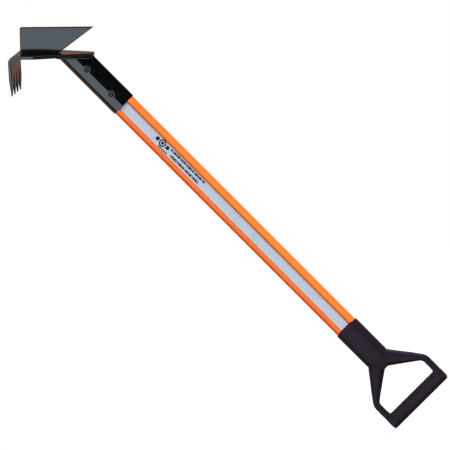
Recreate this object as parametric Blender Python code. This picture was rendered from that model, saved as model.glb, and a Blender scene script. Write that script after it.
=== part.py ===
"""Fire overhaul hook: a welded steel hook-and-rake head on a dog-bone fibreglass pole with a D-handle.

Frame: +Z runs up the pole to the head, and the origin is the centre of the grip's flat end face.
X lies in the plane of the head, with the rake towards -X and the hook's point towards +X.
Y is the tool's thin direction. Everything is in metres.
"""
import math

import bmesh
import bpy
from mathutils import Vector

MM = 0.001
GAP = 0.3 * MM                      # left between two pieces that touch

# Pole: two round lobes joined by a flat web, with a shallow recess on each face
POLE_HALF_WIDTH = 22.4 * MM
LOBE_RADIUS = 12.5 * MM             # outer round of a lobe
LOBE_CENTRE_Y = 1.5 * MM
LOBE_TURN = math.radians(65)        # where the outer round hands over to the crest
CREST_RADIUS = 3.7 * MM             # the lobe's crest, beside the recess
RECESS_FLOOR = 9.1 * MM             # half thickness of the web
POLE_WALL = 2.5 * MM
POLE_BOTTOM = 123.0 * MM
POLE_HEAD_GAP = 5.0 * MM            # along Z, from the pole's mitred end to the plate
TAPE_HALF_WIDTH = 9.5 * MM
TAPE_THICKNESS = 0.3 * MM
TAPE_TUCK = 8.0 * MM                # how far a tape runs into each socket

# Head: a plate at about 45 degrees to the pole, in its own frame with +X to the nose and +Z up its fin
HEAD_HEIGHT = 908.0 * MM            # where the pole's axis meets the plate's underside
HEAD_TILT = math.radians(44.1)
PLATE_THICKNESS = 6.35 * MM
PLATE_HALF_WIDTH = 57.0 * MM
PLATE_NOSE = 35.4 * MM
PLATE_BACK = -117.2 * MM
TAPER_START = -68.8 * MM
NOSE_HALF_WIDTH = 15.0 * MM
NOSE_RADIUS = 8.0 * MM
BEND_RADIUS = 13.0 * MM             # outside of the bend
RAKE_LEAN = math.radians(2.2)
RAKE_DEPTH = 69.2 * MM              # tine tips below the plate's underside
CHISEL_LENGTH = 30.0 * MM
CHISEL_THICKNESS = 2.0 * MM
TINE_PITCH = 33.5 * MM
TINE_COUNT = 4
TINE_TIP_RADIUS = 3.2 * MM
TINE_SHOULDER = 42.0 * MM           # where an outer tine's outer edge starts to lean in
SLOT_ROOT = 26.0 * MM
SLOT_ROOT_RADIUS = 2.2 * MM

# Fin: the upright blade whose slanted back edge ends in the hook's point
FIN_THICKNESS = 6.35 * MM
FIN_BACK = -102.3 * MM
FIN_TOP = 54.3 * MM
FIN_POINT = 36.6 * MM
FIN_HEEL = -28.4 * MM
FIN_CORNER_RADIUS = 4.0 * MM

# Weld beads
FIN_BEAD_RADIUS = 1.5 * MM
FIN_BEAD_SETBACK = 3.0 * MM
BEAD_RAMP = 2.0 * MM                # run over which a bead swells to its full size
BEAD_END_SIZE = 0.55                # of its full radius, at its two ends
SOCKET_BEAD_RADIUS = 2.2 * MM

# Head socket
SOCKET_CAVITY_X = POLE_HALF_WIDTH + GAP
SOCKET_CAVITY_Y = 13.5 * MM
SOCKET_CAVITY_RADIUS = 9.5 * MM
SOCKET_WALL = 1.3 * MM
SOCKET_MOUTH = 780.3 * MM
EPOXY_SETBACK = 4.0 * MM            # of the filler from a socket's mouth

# Socket screws, through the pole along Y
SCREW_HEIGHTS = {"upper": 874.3 * MM, "lower": 810.1 * MM}
SCREW_RADIUS = 3.0 * MM
SCREW_HOLE_RADIUS = 3.3 * MM
SCREW_HEAD_RADIUS = 5.5 * MM
SCREW_HEAD_HEIGHT = 3.2 * MM
SCREW_HEAD_ARC = (math.radians(18), math.radians(76))   # of the dome, from its rim to its crown
SCREW_HEAD_SINK = 0.18              # of the height, that the dome's centre lies below the seat
SCREW_HEAD_STEPS = 6
CROWN_RATIO = 1.1                   # the flat round the key's socket, to that socket's radius
HOLE_REACH = 40.0 * MM              # of the cutters for the screw holes
HEX_KEY_RADIUS = 2.2 * MM           # corner radius of the socket for the key
HEX_KEY_DEPTH = 1.8 * MM
WASHER_RADIUS = 6.25 * MM
WASHER_THICKNESS = 1.6 * MM
NUT_RADIUS = 5.77 * MM              # corner radius of a 10 mm hexagon
NUT_HEX_HEIGHT = 4.6 * MM
NUT_HEIGHT = 6.2 * MM
NUT_COLLAR_RADIUS = 4.8 * MM
INSERT_RADIUS = 4.0 * MM
INSERT_HEIGHT = 1.3 * MM
SCREW_PROUD = 1.5 * MM              # thread past the lock nut

# D-handle
HANDLE_MOUTH = 197.6 * MM           # at the two sides of the mouth
MOUTH_ARCH = 2.9 * MM               # how much higher the mouth is at its middle
HANDLE_SOCKET_X = 24.0 * MM
HANDLE_SOCKET_Y = 16.5 * MM
HANDLE_SOCKET_RADIUS = 13.5 * MM
HANDLE_BORE_Y = 13.8 * MM
HANDLE_BORE_RADIUS = 10.5 * MM
BORE_FLOOR = 121.0 * MM
GRIP_HALF_LENGTH = 68.8 * MM
GRIP_HALF_DEPTH = 13.0 * MM
GRIP_HEIGHT = 27.0 * MM
GRIP_CORNER_RADIUS = 9.0 * MM
GRIP_END_ROUND = 2.5 * MM

# Body of the handle below its socket: height, half width, half depth, corner radius
THROAT_SECTIONS = [
    (93.2 * MM, 3.2 * MM, 10.5 * MM, 3.1 * MM),
    (95.6 * MM, 8.2 * MM, 12.0 * MM, 6.0 * MM),
    (103.5 * MM, 17.5 * MM, 13.5 * MM, 9.0 * MM),
    (113.5 * MM, 23.0 * MM, 15.3 * MM, 13.0 * MM),
]
# One arm and leg, from the throat to the grip: outer edge x, z; inner edge x, z; half depth
ARM_STATIONS = [
    (14.0 * MM, 119.0 * MM, -4.0 * MM, 99.0 * MM, 13.5 * MM),
    (24.0 * MM, 116.8 * MM, 6.0 * MM, 92.1 * MM, 13.2 * MM),
    (38.4 * MM, 98.4 * MM, 21.5 * MM, 81.4 * MM, 12.4 * MM),
    (53.8 * MM, 78.9 * MM, 37.0 * MM, 70.6 * MM, 11.4 * MM),
    (64.8 * MM, 63.6 * MM, 51.0 * MM, 60.8 * MM, 10.6 * MM),
    (67.8 * MM, 58.4 * MM, 56.6 * MM, 56.4 * MM, 10.4 * MM),
    (69.0 * MM, 52.4 * MM, 58.5 * MM, 51.5 * MM, 10.4 * MM),
    (69.2 * MM, 39.0 * MM, 58.6 * MM, 39.0 * MM, 10.6 * MM),
    (69.0 * MM, 27.0 * MM, 58.0 * MM, 27.0 * MM, 11.0 * MM),
    (68.0 * MM, 10.0 * MM, 55.0 * MM, 10.0 * MM, 11.0 * MM),
]

CORNER_STEPS = 6                    # segments in each quarter of a rounded section, and in small arcs
BEND_STEPS = 12                     # segments round the plate's bend
ROUND_STEPS = 24                    # points around a turned ring

# Guide bodies reach past the plate by these amounts, in the head's own frame
SIDE_MARGIN = 1.0 * MM
PLAN_MARGIN = 10.0 * MM
PLAN_SPAN = (-90.0 * MM, 30.0 * MM)
RAKE_TOP = 20.0 * MM
RAKE_SPAN = (-140.0 * MM, 60.0 * MM)


# ---------------------------------------------------------------- materials and objects

def clear_scene():
    """Remove every object, so that the script gives the same result in any file."""
    for leftover in list(bpy.data.objects):
        bpy.data.objects.remove(leftover, do_unlink=True)


def make_material(name, colour, roughness, metallic=0.0):
    """A Principled material with the piece's base colour."""
    material = bpy.data.materials.new(name)
    material.use_nodes = True
    shader = material.node_tree.nodes["Principled BSDF"]
    shader.inputs["Base Color"].default_value = (*colour, 1.0)
    shader.inputs["Roughness"].default_value = roughness
    shader.inputs["Metallic"].default_value = metallic
    material.diffuse_color = (*colour, 1.0)
    return material


def add_object(name, bm, material, parent=None, smooth_angle=35):
    """Turn a bmesh into a named object with outward faces."""
    bmesh.ops.recalc_face_normals(bm, faces=bm.faces)
    mesh = bpy.data.meshes.new(name)
    bm.to_mesh(mesh)
    bm.free()
    mesh.shade_smooth()
    mesh.set_sharp_from_angle(angle=math.radians(smooth_angle))
    mesh.materials.append(material)
    piece = bpy.data.objects.new(name, mesh)
    bpy.context.collection.objects.link(piece)
    piece.parent = parent
    return piece


def add_cutter(name, bm, parent=None):
    """A guide body for Boolean modifiers, which isn't part of the tool."""
    bmesh.ops.recalc_face_normals(bm, faces=bm.faces)
    mesh = bpy.data.meshes.new(name)
    bm.to_mesh(mesh)
    bm.free()
    cutter = bpy.data.objects.new(name, mesh)
    bpy.context.collection.objects.link(cutter)
    cutter.parent = parent
    cutter.hide_render = True
    cutter.display_type = "WIRE"
    return cutter


def boolean(piece, other, operation):
    """Cut, join or intersect a piece with another body."""
    modifier = piece.modifiers.new(operation.title(), "BOOLEAN")
    modifier.operation = operation
    modifier.object = other
    modifier.solver = "EXACT"


# ---------------------------------------------------------------- outlines

def arc(centre_x, centre_y, radius, start, end, steps):
    """Points on an arc, both ends included; angles in radians."""
    points = []
    for step in range(steps + 1):
        angle = start + (end - start) * step / steps
        points.append((centre_x + radius * math.cos(angle), centre_y + radius * math.sin(angle)))
    return points


def rounded_rectangle(half_x, half_y, radius, steps=CORNER_STEPS):
    """A rectangle with round corners, anticlockwise from the +X side."""
    quarter = math.pi / 2
    outline = []
    for index, (sign_x, sign_y) in enumerate([(1, 1), (-1, 1), (-1, -1), (1, -1)]):
        outline += arc(sign_x * (half_x - radius), sign_y * (half_y - radius), radius,
                       index * quarter, (index + 1) * quarter, steps)
    return outline


def polygon_ring(radius, sides, steps=ROUND_STEPS):
    """Points spaced by angle around a regular polygon; sides of 0 gives a circle."""
    points = []
    for step in range(steps):
        angle = 2 * math.pi * step / steps
        reach = radius
        if sides:
            sector = math.pi / sides
            reach = radius * math.cos(sector) / math.cos(angle % (2 * sector) - sector)
        points.append((reach * math.cos(angle), reach * math.sin(angle)))
    return points


def pole_outline(grow=0.0):
    """The dog-bone section, grown outward by a distance, or shrunk by a negative one."""
    lobe_x = POLE_HALF_WIDTH - LOBE_RADIUS
    reach = LOBE_RADIUS - CREST_RADIUS
    crest_x = lobe_x + reach * math.cos(LOBE_TURN)
    crest_y = LOBE_CENTRE_Y + reach * math.sin(LOBE_TURN)
    quadrant = arc(lobe_x, LOBE_CENTRE_Y, LOBE_RADIUS + grow, 0, LOBE_TURN, CORNER_STEPS)
    quadrant += arc(crest_x, crest_y, CREST_RADIUS + grow, LOBE_TURN, math.pi, CORNER_STEPS)[1:]
    quadrant.append((crest_x - CREST_RADIUS - grow, RECESS_FLOOR + grow))
    left = [(-x, y) for x, y in reversed(quadrant)]
    return quadrant + left + [(-x, -y) for x, y in quadrant] + [(-x, -y) for x, y in left]


# ---------------------------------------------------------------- solids

def loft(rings, closed=False):
    """Skin a row of rings with equal point counts; closed joins the last ring to the first."""
    bm = bmesh.new()
    rows = [[bm.verts.new(point) for point in ring] for ring in rings]
    pairs = list(zip(rows, rows[1:]))
    if closed:
        pairs.append((rows[-1], rows[0]))
    for lower, upper in pairs:
        for index in range(len(lower)):
            following = (index + 1) % len(lower)
            bm.faces.new((lower[index], lower[following], upper[following], upper[index]))
    if not closed:
        bm.faces.new(reversed(rows[0]))
        bm.faces.new(rows[-1])
    return bm


def prism(outline, place, start, end):
    """Extrude an outline from one depth to another; place(a, b, depth) gives a point."""
    return loft([[place(a, b, depth) for a, b in outline] for depth in (start, end)])


def flat_ring(outline, height):
    """An outline at one height on the pole's axis."""
    return [(x, y, height) for x, y in outline]


def mitred_ring(outline, clearance):
    """An outline carried up to the plate's underside, a clearance short of it along Z."""
    return [(x, y, HEAD_HEIGHT - x * math.tan(HEAD_TILT) - clearance) for x, y in outline]


def turned_along_y(stations, height):
    """Rings around a screw's axis from (y, radius, sides) stations."""
    rings = []
    for y, radius, sides in stations:
        rings.append([(a, y, height + b) for a, b in polygon_ring(radius, sides)])
    return rings


# ---------------------------------------------------------------- head

def make_head_frame():
    """The empty that carries the plate, the fin and their welds."""
    frame = bpy.data.objects.new("head_frame", None)
    bpy.context.collection.objects.link(frame)
    frame.location = (0.0, 0.0, HEAD_HEIGHT)
    frame.rotation_euler = (0.0, HEAD_TILT, 0.0)
    return frame


def plate_side_outline():
    """The bent plate from the side: flat, bend, leaning rake and chisel tips."""
    centre_x = PLATE_BACK + BEND_RADIUS
    centre_z = PLATE_THICKNESS - BEND_RADIUS
    bend_end = math.pi + RAKE_LEAN
    outer = arc(centre_x, centre_z, BEND_RADIUS, math.pi / 2, bend_end, BEND_STEPS)
    inner = arc(centre_x, centre_z, BEND_RADIUS - PLATE_THICKNESS, bend_end, math.pi / 2,
                BEND_STEPS)
    down = Vector((math.sin(RAKE_LEAN), -math.cos(RAKE_LEAN)))
    across = Vector((math.cos(RAKE_LEAN), math.sin(RAKE_LEAN)))
    leg_length = (RAKE_DEPTH + outer[-1][1]) / math.cos(RAKE_LEAN)
    outer_start = Vector(outer[-1])
    chisel_start = outer_start + down * (leg_length - CHISEL_LENGTH)
    tip = outer_start + down * leg_length
    spare = (PLATE_THICKNESS - CHISEL_THICKNESS) / 2
    leg = [
        chisel_start,
        tip + across * spare,
        tip + across * (spare + CHISEL_THICKNESS),
        chisel_start + across * PLATE_THICKNESS,
    ]
    return ([(PLATE_NOSE, 0.0), (PLATE_NOSE, PLATE_THICKNESS)] + outer
            + [tuple(point) for point in leg] + inner)


def plate_plan_outline():
    """The plate from above: full width at the rake, tapering to a rounded nose."""
    taper = math.atan2(PLATE_HALF_WIDTH - NOSE_HALF_WIDTH, PLATE_NOSE - TAPER_START)
    nose = arc(PLATE_NOSE - NOSE_RADIUS, NOSE_HALF_WIDTH - NOSE_RADIUS, NOSE_RADIUS,
               0, math.pi / 2 - taper, CORNER_STEPS)
    side = nose + [(TAPER_START, PLATE_HALF_WIDTH), (PLATE_BACK - PLAN_MARGIN, PLATE_HALF_WIDTH)]
    return side + [(x, -y) for x, y in reversed(side)]


def rake_outline():
    """The rake from behind, as (y, z): four tapering tines between three V slots."""
    tip_z = -RAKE_DEPTH
    first = -TINE_PITCH * (TINE_COUNT - 1) / 2
    outline = [(-PLATE_HALF_WIDTH, RAKE_TOP), (-PLATE_HALF_WIDTH, -TINE_SHOULDER)]
    for index in range(TINE_COUNT):
        tine_y = first + index * TINE_PITCH
        outline += arc(tine_y, tip_z + TINE_TIP_RADIUS, TINE_TIP_RADIUS, math.pi, 2 * math.pi,
                       CORNER_STEPS)
        if index < TINE_COUNT - 1:
            outline += arc(tine_y + TINE_PITCH / 2, -SLOT_ROOT - SLOT_ROOT_RADIUS,
                           SLOT_ROOT_RADIUS, math.pi, 0, CORNER_STEPS)
    outline += [(PLATE_HALF_WIDTH, -TINE_SHOULDER), (PLATE_HALF_WIDTH, RAKE_TOP)]
    return outline


def make_claw_plate(frame, material):
    """The flat plate whose wide end is bent down into the rake."""
    width = PLATE_HALF_WIDTH + SIDE_MARGIN
    side = prism(plate_side_outline(), lambda a, b, d: (a, d, b), -width, width)
    plate = add_object("claw_plate", side, material, frame)
    plan = prism(plate_plan_outline(), lambda a, b, d: (a, b, d), *PLAN_SPAN)
    rake = prism(rake_outline(), lambda a, b, d: (d, a, b), *RAKE_SPAN)
    boolean(plate, add_cutter("plan_cutter", plan, frame), "INTERSECT")
    boolean(plate, add_cutter("rake_cutter", rake, frame), "INTERSECT")


def make_fin_blade(frame, material):
    """The blade that stands on the plate's centre line and ends in the hook's point."""
    base = PLATE_THICKNESS + GAP
    outline = [(FIN_BACK, base), (FIN_HEEL, base), (FIN_POINT, FIN_TOP)]
    outline += arc(FIN_BACK + FIN_CORNER_RADIUS, FIN_TOP - FIN_CORNER_RADIUS, FIN_CORNER_RADIUS,
                   math.pi / 2, math.pi, CORNER_STEPS)
    half = FIN_THICKNESS / 2
    add_object("fin_blade", prism(outline, lambda a, b, d: (a, d, b), -half, half), material, frame)


def bead(path, radius, steps=8):
    """A weld bead: a round section carried along a path, with its ends drawn in."""
    rings = []
    for index, point in enumerate(path):
        before = path[max(index - 1, 0)]
        after = path[min(index + 1, len(path) - 1)]
        tangent = (after - before).normalized()
        side = tangent.cross(Vector((0, 0, 1)))
        if side.length < 0.1:
            side = tangent.cross(Vector((1, 0, 0)))
        side.normalize()
        up = side.cross(tangent)
        size = radius * (BEAD_END_SIZE if index in (0, len(path) - 1) else 1.0)
        ring = []
        for step in range(steps):
            angle = 2 * math.pi * step / steps
            ring.append(point + side * size * math.cos(angle) + up * size * math.sin(angle))
        rings.append(ring)
    return loft(rings)


def make_fin_welds(frame, material):
    """A bead along each side of the fin's foot."""
    offset = FIN_THICKNESS / 2 + GAP + FIN_BEAD_RADIUS
    height = PLATE_THICKNESS + GAP + FIN_BEAD_RADIUS
    start = FIN_BACK + FIN_BEAD_SETBACK
    end = FIN_HEEL - FIN_BEAD_SETBACK
    for name, side in (("fin_weld_front", -1), ("fin_weld_back", 1)):
        stops = [start, start + BEAD_RAMP, end - BEAD_RAMP, end]
        path = [Vector((x, side * offset, height)) for x in stops]
        add_object(name, bead(path, FIN_BEAD_RADIUS), material, frame)


def make_socket_weld(material):
    """The bead where the socket meets the plate, round three sides of the socket."""
    outset = SOCKET_BEAD_RADIUS + GAP
    outline = rounded_rectangle(SOCKET_CAVITY_X + SOCKET_WALL + outset,
                                SOCKET_CAVITY_Y + SOCKET_WALL + outset,
                                SOCKET_CAVITY_RADIUS + SOCKET_WALL + outset)
    path = []
    for x, y in outline[CORNER_STEPS - 1:-CORNER_STEPS + 1]:
        path.append(Vector((x, y, HEAD_HEIGHT - x * math.tan(HEAD_TILT) - outset / math.cos(HEAD_TILT))))
    add_object("socket_weld", bead(path, SOCKET_BEAD_RADIUS), material)


def make_head_socket(material, screw_holes):
    """The tube that takes the pole, square at its mouth and mitred to the plate."""
    inner = rounded_rectangle(SOCKET_CAVITY_X, SOCKET_CAVITY_Y, SOCKET_CAVITY_RADIUS)
    outer = rounded_rectangle(SOCKET_CAVITY_X + SOCKET_WALL, SOCKET_CAVITY_Y + SOCKET_WALL,
                              SOCKET_CAVITY_RADIUS + SOCKET_WALL)
    mitre_gap = GAP / math.cos(HEAD_TILT)
    rings = [
        flat_ring(outer, SOCKET_MOUTH),
        mitred_ring(outer, mitre_gap),
        mitred_ring(inner, mitre_gap),
        flat_ring(inner, SOCKET_MOUTH),
    ]
    socket = add_object("head_socket", loft(rings, closed=True), material)
    for hole in screw_holes:
        boolean(socket, hole, "DIFFERENCE")


# ---------------------------------------------------------------- pole

def make_screw_holes():
    """Cutters for the clearance holes that the two socket screws pass through."""
    holes = []
    for level, height in SCREW_HEIGHTS.items():
        stations = [(-HOLE_REACH, SCREW_HOLE_RADIUS, 0), (HOLE_REACH, SCREW_HOLE_RADIUS, 0)]
        rings = turned_along_y(stations, height)
        holes.append(add_cutter(f"{level}_screw_hole", loft(rings)))
    return holes


def make_pole(shell_material, core_material, screw_holes):
    """The pultruded shell, mitred under the plate, and the foam core that fills it."""
    outer = pole_outline()
    inner = pole_outline(-POLE_WALL)
    shell = add_object("pole_shell", loft([
        flat_ring(outer, POLE_BOTTOM),
        mitred_ring(outer, POLE_HEAD_GAP),
        mitred_ring(inner, POLE_HEAD_GAP),
        flat_ring(inner, POLE_BOTTOM),
    ], closed=True), shell_material)
    core_outline = pole_outline(-POLE_WALL - GAP)
    core = add_object("pole_core", loft([
        flat_ring(core_outline, POLE_BOTTOM),
        mitred_ring(core_outline, POLE_HEAD_GAP),
    ]), core_material)
    for piece in (shell, core):
        for hole in screw_holes:
            boolean(piece, hole, "DIFFERENCE")


def make_tapes(material):
    """The reflective strips in the pole's two recesses."""
    near = RECESS_FLOOR + GAP
    far = near + TAPE_THICKNESS
    outline = [(-TAPE_HALF_WIDTH, near), (TAPE_HALF_WIDTH, near),
               (TAPE_HALF_WIDTH, far), (-TAPE_HALF_WIDTH, far)]
    bottom = HANDLE_MOUTH - TAPE_TUCK
    top = SOCKET_MOUTH + TAPE_TUCK
    for name, side in (("reflective_tape_front", -1), ("reflective_tape_back", 1)):
        rings = [[(x, side * y, z) for x, y in outline] for z in (bottom, top)]
        add_object(name, loft(rings), material)


def make_epoxy(material, screw_holes):
    """The filler that beds the pole in its two sockets."""
    section = rounded_rectangle(SOCKET_CAVITY_X - GAP, SOCKET_CAVITY_Y - GAP,
                                SOCKET_CAVITY_RADIUS - GAP)
    head = add_object("head_epoxy", loft([
        flat_ring(section, SOCKET_MOUTH + TAPE_TUCK + EPOXY_SETBACK),
        mitred_ring(section, 2 * GAP),
    ]), material)
    bore = rounded_rectangle(SOCKET_CAVITY_X - GAP, HANDLE_BORE_Y - GAP, HANDLE_BORE_RADIUS - GAP)
    handle = add_object("handle_epoxy", loft([
        flat_ring(bore, BORE_FLOOR + GAP),
        flat_ring(bore, HANDLE_MOUTH - TAPE_TUCK - EPOXY_SETBACK),
    ]), material)
    grown = pole_outline(GAP)
    pole_room = add_cutter("pole_room", loft([
        flat_ring(grown, POLE_BOTTOM - GAP),
        mitred_ring(grown, POLE_HEAD_GAP - GAP / math.cos(HEAD_TILT)),
    ]))
    for piece in (head, handle):
        boolean(piece, pole_room, "DIFFERENCE")
    for hole in screw_holes:
        boolean(head, hole, "DIFFERENCE")


# ---------------------------------------------------------------- fasteners

def make_fasteners(level, height, steel, nylon):
    """One button-head screw through the socket, with its washer and lock nut at the back."""
    face = SOCKET_CAVITY_Y + SOCKET_WALL + GAP
    washer_top = face + WASHER_THICKNESS
    nut_base = washer_top + GAP
    nut_top = nut_base + NUT_HEIGHT

    rim, crown = SCREW_HEAD_ARC
    head_stations = []
    for step in range(SCREW_HEAD_STEPS):
        angle = rim + (crown - rim) * step / (SCREW_HEAD_STEPS - 1)
        y = -face - SCREW_HEAD_HEIGHT * (math.sin(angle) - SCREW_HEAD_SINK)
        head_stations.append((y, SCREW_HEAD_RADIUS * math.cos(angle) / math.cos(rim), 0))
    crown_y = head_stations[-1][0]
    head_stations[-1] = (crown_y, HEX_KEY_RADIUS * CROWN_RATIO, 0)
    stations = [
        (nut_top + SCREW_PROUD, SCREW_RADIUS, 0),
        (-face, SCREW_RADIUS, 0),
        (-face, SCREW_HEAD_RADIUS, 0),
        *head_stations,
        (crown_y, HEX_KEY_RADIUS, 6),
        (crown_y + HEX_KEY_DEPTH, HEX_KEY_RADIUS, 6),
    ]
    add_object(f"{level}_screw", loft(turned_along_y(stations, height)), steel)

    washer = turned_along_y([
        (face, WASHER_RADIUS, 0),
        (washer_top, WASHER_RADIUS, 0),
        (washer_top, SCREW_HOLE_RADIUS, 0),
        (face, SCREW_HOLE_RADIUS, 0),
    ], height)
    add_object(f"{level}_washer", loft(washer, closed=True), steel)

    seat = nut_top - INSERT_HEIGHT - 2 * GAP
    nut = turned_along_y([
        (nut_base, NUT_RADIUS, 6),
        (nut_base + NUT_HEX_HEIGHT, NUT_RADIUS, 6),
        (nut_base + NUT_HEX_HEIGHT, NUT_COLLAR_RADIUS, 0),
        (nut_top, NUT_COLLAR_RADIUS, 0),
        (nut_top, INSERT_RADIUS + GAP, 0),
        (seat, INSERT_RADIUS + GAP, 0),
        (seat, SCREW_HOLE_RADIUS, 0),
        (nut_base, SCREW_HOLE_RADIUS, 0),
    ], height)
    add_object(f"{level}_lock_nut", loft(nut, closed=True), steel)

    insert = turned_along_y([
        (seat + GAP, INSERT_RADIUS, 0),
        (nut_top - GAP, INSERT_RADIUS, 0),
        (nut_top - GAP, SCREW_HOLE_RADIUS, 0),
        (seat + GAP, SCREW_HOLE_RADIUS, 0),
    ], height)
    add_object(f"{level}_nut_insert", loft(insert, closed=True), nylon)


# ---------------------------------------------------------------- handle

def mouth_ring(outline):
    """The socket's rim, which arches up to its middle on both faces."""
    ring = []
    for x, y in outline:
        rise = MOUTH_ARCH * (1 - (x / HANDLE_SOCKET_X) ** 2)
        ring.append((x, y, HANDLE_MOUTH + rise))
    return ring


def arm_ring(outer_x, outer_z, inner_x, inner_z, half_depth):
    """A rounded section of an arm between its outer and inner edges."""
    middle = Vector(((outer_x + inner_x) / 2, 0.0, (outer_z + inner_z) / 2))
    across = Vector((outer_x - inner_x, 0.0, outer_z - inner_z)) / 2
    half_width = across.length
    direction = across.normalized()
    radius = 0.8 * min(half_width, half_depth)
    ring = []
    for a, b in rounded_rectangle(half_width, half_depth, radius):
        ring.append(middle + direction * a + Vector((0.0, b, 0.0)))
    return ring


def grip_ring(x, shrink):
    """The grip's section, with a flat face at each side, at one place along it."""
    outline = rounded_rectangle(GRIP_HALF_DEPTH - shrink, GRIP_HEIGHT / 2 - shrink,
                                GRIP_CORNER_RADIUS - shrink)
    return [(x, y, GRIP_HEIGHT / 2 + z) for y, z in outline]


def make_d_handle(material):
    """The one-piece moulding: socket, throat, two arms with their legs, and the grip."""
    outer = rounded_rectangle(HANDLE_SOCKET_X, HANDLE_SOCKET_Y, HANDLE_SOCKET_RADIUS)
    bore = rounded_rectangle(SOCKET_CAVITY_X, HANDLE_BORE_Y, HANDLE_BORE_RADIUS)
    rings = []
    for height, half_x, half_y, radius in THROAT_SECTIONS:
        rings.append(flat_ring(rounded_rectangle(half_x, half_y, radius), height))
    rings += [flat_ring(outer, BORE_FLOOR), mouth_ring(outer), mouth_ring(bore),
              flat_ring(bore, BORE_FLOOR)]
    handle = add_object("d_handle", loft(rings), material)

    for name, side in (("left_arm", -1), ("right_arm", 1)):
        arm_rings = []
        for station in ARM_STATIONS:
            ring = arm_ring(*station)
            arm_rings.append([(side * x, y, z) for x, y, z in ring])
        boolean(handle, add_cutter(name, loft(arm_rings)), "UNION")

    end = GRIP_HALF_LENGTH
    grip = loft([
        grip_ring(-end, GRIP_END_ROUND),
        grip_ring(-end + GRIP_END_ROUND, 0.0),
        grip_ring(end - GRIP_END_ROUND, 0.0),
        grip_ring(end, GRIP_END_ROUND),
    ])
    boolean(handle, add_cutter("grip", grip), "UNION")


# ---------------------------------------------------------------- assembly

def main():
    clear_scene()
    black_steel = make_material("black_powder_coat", (0.012, 0.013, 0.015), 0.28)
    weld_steel = make_material("coated_weld", (0.011, 0.011, 0.013), 0.38)
    fastener_steel = make_material("black_fastener", (0.02, 0.02, 0.022), 0.35, 0.6)
    nylon = make_material("nylon_insert", (0.55, 0.57, 0.6), 0.5)
    fibreglass = make_material("orange_fibreglass", (0.9, 0.2, 0.02), 0.3)
    foam = make_material("core_foam", (0.75, 0.66, 0.42), 0.9)
    tape = make_material("reflective_tape", (0.5, 0.52, 0.62), 0.35, 0.2)
    epoxy = make_material("epoxy_filler", (0.35, 0.3, 0.2), 0.6)
    plastic = make_material("black_plastic", (0.025, 0.022, 0.03), 0.5)

    frame = make_head_frame()
    screw_holes = make_screw_holes()
    make_claw_plate(frame, black_steel)
    make_fin_blade(frame, black_steel)
    make_fin_welds(frame, weld_steel)
    make_socket_weld(weld_steel)
    make_head_socket(black_steel, screw_holes)
    make_pole(fibreglass, foam, screw_holes)
    make_tapes(tape)
    make_epoxy(epoxy, screw_holes)
    for level, height in SCREW_HEIGHTS.items():
        make_fasteners(level, height, fastener_steel, nylon)
    make_d_handle(plastic)


main()
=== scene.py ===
"""A D-handled overhaul hook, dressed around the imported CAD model.

World frame: Z runs up the pole, +X is the side of the hook's nose and -Y is the side seen in the main view.
Finer meshes replace the CAD's steel head, weld beads, pole shell, D-handle, screws, washers and nuts.
The tapes, fillers, foam core and nylon inserts are the CAD's own nodes with new materials.
"""
import math

import bmesh
import bpy
from mathutils import Matrix, Vector


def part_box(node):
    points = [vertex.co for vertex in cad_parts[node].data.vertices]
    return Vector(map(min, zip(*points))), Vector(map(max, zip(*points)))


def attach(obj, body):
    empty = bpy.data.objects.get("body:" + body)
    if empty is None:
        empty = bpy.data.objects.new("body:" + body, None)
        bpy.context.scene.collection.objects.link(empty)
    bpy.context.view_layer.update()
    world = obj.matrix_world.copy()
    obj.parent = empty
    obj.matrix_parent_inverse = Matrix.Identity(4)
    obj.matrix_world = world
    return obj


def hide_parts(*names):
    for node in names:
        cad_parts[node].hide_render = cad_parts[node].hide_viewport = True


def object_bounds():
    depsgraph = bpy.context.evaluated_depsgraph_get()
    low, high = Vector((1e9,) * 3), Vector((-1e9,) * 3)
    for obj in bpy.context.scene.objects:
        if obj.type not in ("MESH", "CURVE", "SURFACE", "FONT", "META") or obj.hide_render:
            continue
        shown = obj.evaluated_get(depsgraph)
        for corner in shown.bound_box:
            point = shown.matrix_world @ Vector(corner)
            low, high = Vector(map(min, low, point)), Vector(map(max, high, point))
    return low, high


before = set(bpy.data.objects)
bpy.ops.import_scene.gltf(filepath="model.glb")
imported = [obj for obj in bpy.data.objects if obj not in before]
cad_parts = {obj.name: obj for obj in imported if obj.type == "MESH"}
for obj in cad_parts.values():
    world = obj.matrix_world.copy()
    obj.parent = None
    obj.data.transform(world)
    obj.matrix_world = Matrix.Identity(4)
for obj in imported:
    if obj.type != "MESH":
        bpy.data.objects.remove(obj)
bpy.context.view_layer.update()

MM = 0.001
BODY = "root"
LEVELS = ("upper", "lower")         # of the two screws
MERGE_DISTANCE = 0.001 * MM
FLAT_ANGLE = math.radians(0.5)      # faces that meet at less than this are one flat face
ROUND_STEPS = 48                    # sides of a turned or printed circle

# Camera: far back with a long lens, level, and rolled so that the pole lies on the picture's diagonal
CAMERA_AZIMUTH = math.radians(11.2)
CAMERA_DISTANCE = 24.0
CAMERA_REACH = 4 * CAMERA_DISTANCE
VIEW_WIDTH = 0.8325
TARGET_SIDEWAYS = -0.0252
TARGET_HEIGHT = 0.4904
SENSOR = 36.0

# The head's own frame, as in the CAD: its X runs along the plate to the nose, its Z up through the fin
HEAD_HEIGHT = 908.0 * MM
HEAD_TILT = math.radians(44.1)
HEAD = Matrix.Translation((0, 0, HEAD_HEIGHT)) @ Matrix.Rotation(HEAD_TILT, 4, "Y")
HEAD_UP = HEAD.to_3x3() @ Vector((0, 0, 1))

# Plate and fin: width of the rounded edges
PLATE_EDGE = 1.3 * MM
PLATE_EDGE_ANGLE = 18               # degrees: edges that turn more than this are rounded
FIN_EDGE = 1.8 * MM
FIN_EDGE_ANGLE = 35
EDGE_SEGMENTS = 3

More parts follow.
